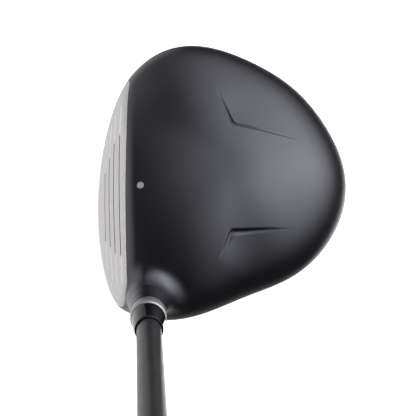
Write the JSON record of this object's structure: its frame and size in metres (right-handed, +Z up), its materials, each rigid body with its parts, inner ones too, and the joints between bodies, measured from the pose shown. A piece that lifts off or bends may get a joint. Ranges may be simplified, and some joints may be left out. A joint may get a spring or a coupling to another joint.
{
  "type": "golf driver",
  "caption": "Adjustable golf driver: hollow satin-black head with brushed face and stepped crown, silver loft collar, black ferrule, graphite shaft and rubber grip.",
  "frame": {"origin": "middle of the flat sole pad, on the ground, with the club at address", "axes": "+X towards the heel and the shaft, +Y towards the back of the head (the face looks to -Y), +Z up; the shaft axis leans 58 degrees from the ground towards +X"},
  "size_m": [0.7011, 0.1022, 0.9762],
  "materials": {
    "crown_paint": "satin black paint with fine grain",
    "sole_paint": "satin black paint",
    "face_titanium": "brushed heel to toe",
    "hosel_paint": "satin black paint",
    "port_titanium": "machined, dark",
    "weight_steel": "turned",
    "gasket_rubber": "matte",
    "screw_steel": "turned",
    "hot_melt": "soft resin",
    "bolt_steel": "turned",
    "washer_steel": "turned",
    "retainer_nylon": "plain nylon",
    "sleeve_aluminium": "brushed round its axis",
    "ferrule_plastic": "polished black",
    "shaft_graphite": "satin charcoal paint over graphite",
    "tip_brass": "turned",
    "tape": "paper tape",
    "grip_rubber": "textured rubber",
    "cap_rubber": "moulded rubber"
  },
  "bodies": {
    "shaft_assembly": {"shaft": "shaft_graphite", "tip_plug": "tip_brass", "loft_sleeve": "sleeve_aluminium", "ferrule": "ferrule_plastic", "grip_tape": "tape", "grip": "grip_rubber", "grip_cap": "cap_rubber"},
    "head": {"crown_shell": "crown_paint", "sole_shell": "sole_paint", "face_insert": "face_titanium", "hosel_tube": "hosel_paint", "weight_port": "port_titanium", "weight_gasket": "gasket_rubber", "hot_melt_pad": "hot_melt", "bolt_retainer": "retainer_nylon"},
    "bolt_carrier": {"bolt_washer": "washer_steel"},
    "bolt": {"hosel_bolt": "bolt_steel"},
    "weight": {"rear_weight": "weight_steel"},
    "weight_fastener": {"weight_screw": "screw_steel"}
  },
  "joints": [
    {"name": "head_release", "type": "slide", "parent": "shaft_assembly", "child": "head", "axis": [-0.5299, 0, -0.848], "range_m": [0, 0.045]},
    {"name": "hosel_bolt_back_out", "type": "slide", "parent": "head", "child": "bolt_carrier", "axis": [-0.5299, 0, -0.848], "range_m": [0, 0.0096]},
    {"name": "hosel_bolt_turn", "type": "hinge", "parent": "bolt_carrier", "child": "bolt", "pos_m": [0.0361, -0.03, 0.01696], "axis": [-0.5299, 0, -0.848], "range_deg": [0, 4320]},
    {"name": "weight_back_out", "type": "slide", "parent": "head", "child": "weight", "axis": [-0.0422, 0.3329, -0.942], "range_m": [0, 0.0056]},
    {"name": "weight_screw_turn", "type": "hinge", "parent": "weight", "child": "weight_fastener", "pos_m": [-0.002, 0.033, 0.00377], "axis": [-0.0422, 0.3329, -0.942], "range_deg": [0, 2520]}
  ],
  "couplings": [
    {"joint": "hosel_bolt_back_out", "follows": "hosel_bolt_turn", "m_per_rad": 0.00012732},
    {"joint": "weight_back_out", "follows": "weight_screw_turn", "m_per_rad": 0.00012732}
  ]
}
